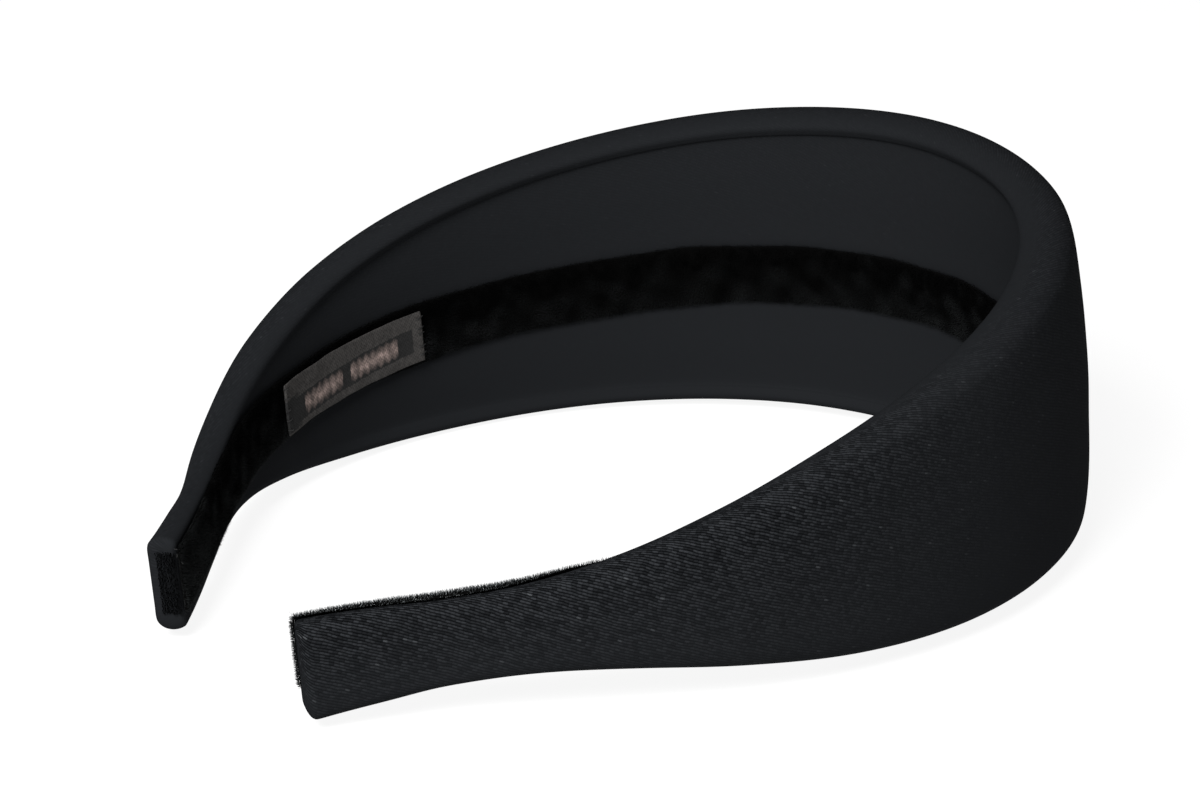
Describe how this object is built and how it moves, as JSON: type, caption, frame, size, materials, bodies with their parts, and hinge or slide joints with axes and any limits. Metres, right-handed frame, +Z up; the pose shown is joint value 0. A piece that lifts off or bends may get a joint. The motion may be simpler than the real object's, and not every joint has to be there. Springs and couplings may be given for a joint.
{
  "type": "padded headband",
  "caption": "Wide padded satin headband with rolled rims, narrowing to flat open ends, a velvet ribbon along the inside and a small blank woven label.",
  "frame": {"origin": "middle of the band's box, on the surface that it lies on", "axes": "+X towards the crown, -X towards the open end between the tips, +Y towards the arm with the label, +Z up; the band lies on its side"},
  "size_m": [0.1732, 0.1338, 0.0587],
  "materials": {
    "satin": "black twill-backed satin, soft sheen",
    "velvet": "black velvet pile",
    "woven_label": "dark woven label with a thin border"
  },
  "bodies": {
    "root": {"padded_cover": "satin", "velvet_ribbon": "velvet", "label": "woven_label"}
  },
  "joints": []
}
